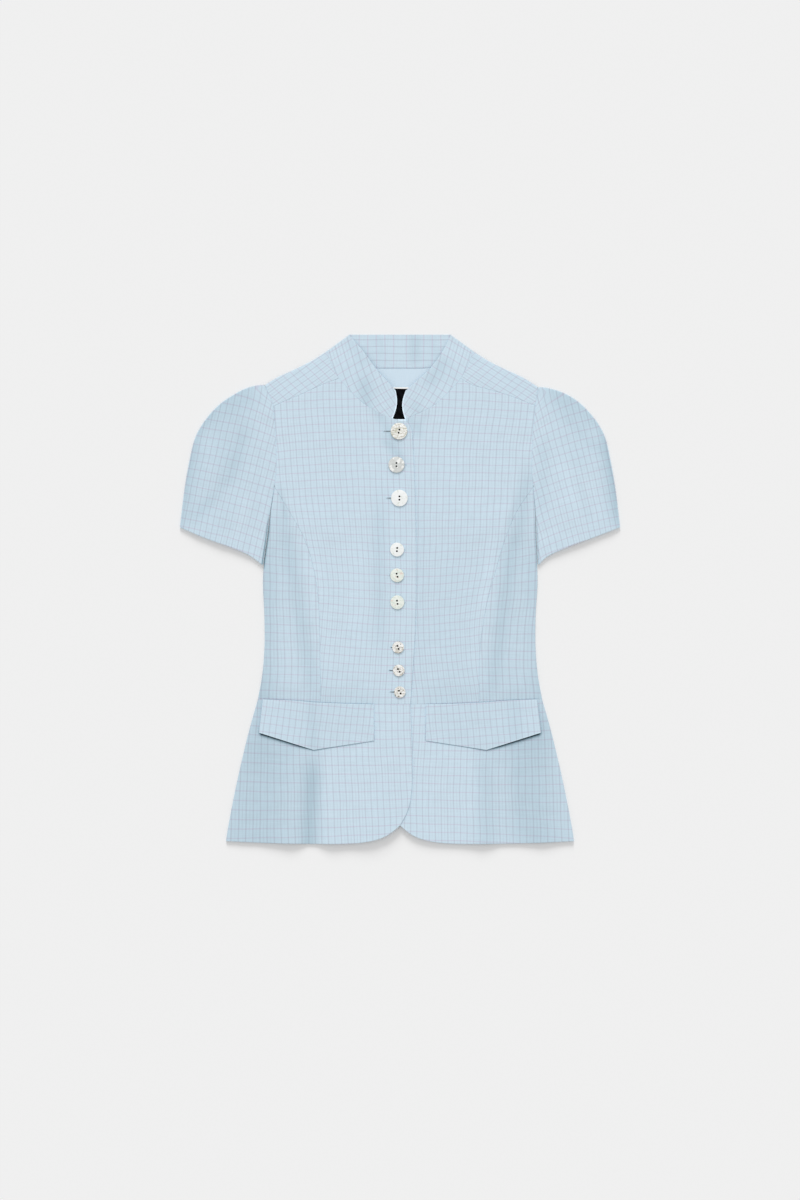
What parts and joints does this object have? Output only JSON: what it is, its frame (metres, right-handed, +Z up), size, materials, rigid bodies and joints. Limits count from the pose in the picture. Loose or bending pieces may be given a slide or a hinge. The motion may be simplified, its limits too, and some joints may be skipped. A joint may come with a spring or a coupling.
{
  "type": "peplum top",
  "caption": "Short-sleeved peplum top in checked cotton with a stand collar, button front and pointed pocket flaps, laid flat on its back.",
  "frame": {"origin": "on the surface that the top lies on, under the middle of its outline", "axes": "+Z up from the surface, +Y from hem to collar, +X towards the wearer's left side"},
  "size_m": [0.5722, 0.662, 0.0098],
  "materials": {
    "checked_cotton": "matt, fine pale blue graph check",
    "plain_lining": "matt, plain",
    "woven_label": "plain black satin weave",
    "shell_button": "polished mother-of-pearl"
  },
  "bodies": {
    "root": {"back_bodice": "checked_cotton", "peplum_back": "checked_cotton", "yoke_right": "checked_cotton", "yoke_left": "checked_cotton", "front_right": "checked_cotton", "front_left": "checked_cotton", "side_front_right": "checked_cotton", "side_front_left": "checked_cotton", "peplum_front_right": "checked_cotton", "peplum_front_left": "checked_cotton", "flap_right": "checked_cotton", "flap_left": "checked_cotton", "sleeve_right": "checked_cotton", "sleeve_left": "checked_cotton", "collar": "checked_cotton", "back_neck_lining": "plain_lining", "neck_label": "woven_label", "button_1": "shell_button", "button_2": "shell_button", "button_3": "shell_button", "button_4": "shell_button", "button_5": "shell_button", "button_6": "shell_button", "button_7": "shell_button", "button_8": "shell_button", "button_9": "shell_button"}
  },
  "joints": []
}
